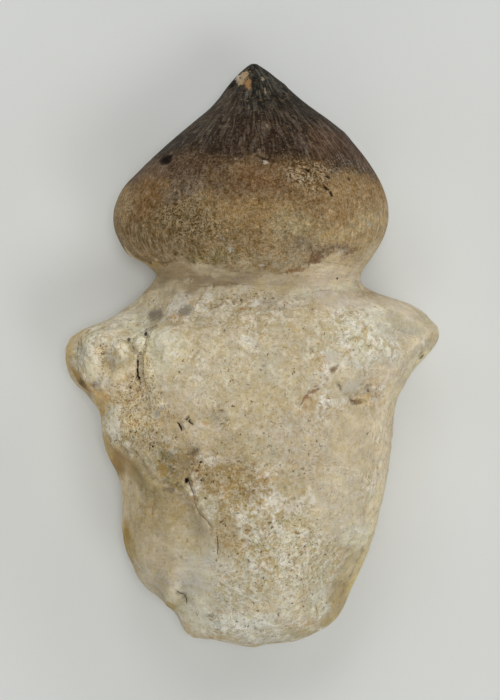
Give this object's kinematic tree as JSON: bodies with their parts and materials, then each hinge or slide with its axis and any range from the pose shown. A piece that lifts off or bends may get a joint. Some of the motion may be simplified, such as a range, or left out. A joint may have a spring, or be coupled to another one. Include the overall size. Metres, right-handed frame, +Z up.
{
  "type": "fossil mosasaur tooth",
  "caption": "Fossil crushing tooth with a low onion-shaped enamel crown, a narrow neck and a broad winged, broken root, lying on its back.",
  "frame": {"origin": "on the resting plane, under the middle of the tooth's box", "axes": "+Y along the tooth towards the crown's tip, +Z up out of the tooth's front, away from the surface it lies on, +X towards the root's right wing as seen from above"},
  "size_m": [0.0406, 0.0632, 0.0271],
  "materials": {
    "fossil": "matt, mineralised bone and enamel"
  },
  "bodies": {
    "root": {"tooth": "fossil"}
  },
  "joints": []
}
